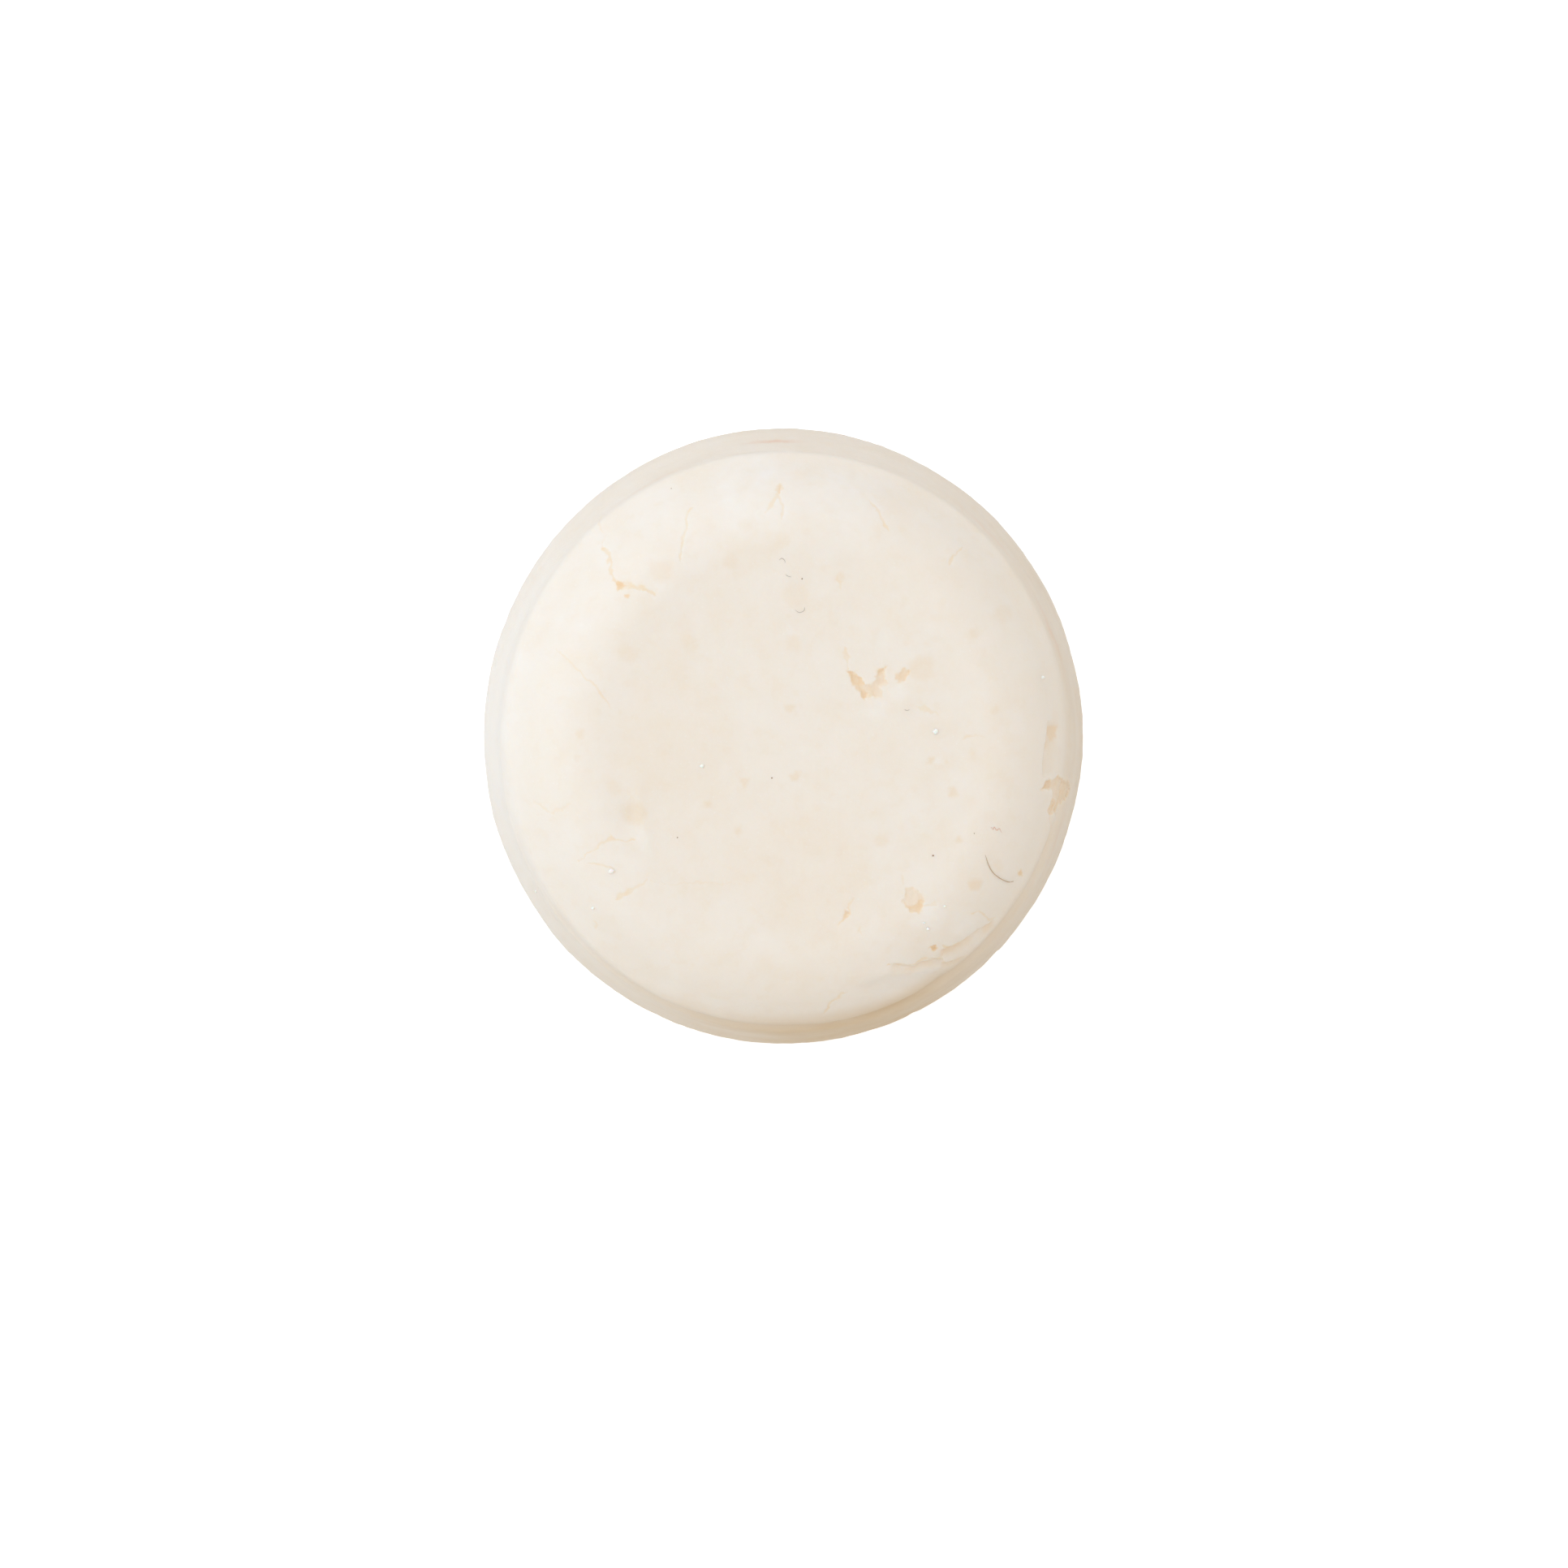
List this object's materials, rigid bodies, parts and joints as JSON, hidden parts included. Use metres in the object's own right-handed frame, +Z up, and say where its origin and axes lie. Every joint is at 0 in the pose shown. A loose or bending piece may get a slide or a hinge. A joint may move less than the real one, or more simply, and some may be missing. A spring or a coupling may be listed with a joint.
{
  "type": "shaving soap puck",
  "caption": "Pressed puck of hard shaving soap, slightly oval, with a flat lathering face, broad rounded shoulder, creased drafted wall, flat base and worn, pitted surface.",
  "frame": {"origin": "centre of the flat underside, on the surface the puck lies on", "axes": "+Z up through the lathering face, +Y along the slightly longer way across, +X along the shorter way across"},
  "size_m": [0.07, 0.072, 0.022],
  "materials": {
    "soap": "matte, waxy, slightly translucent"
  },
  "bodies": {
    "root": {"soap_puck": "soap"}
  },
  "joints": []
}
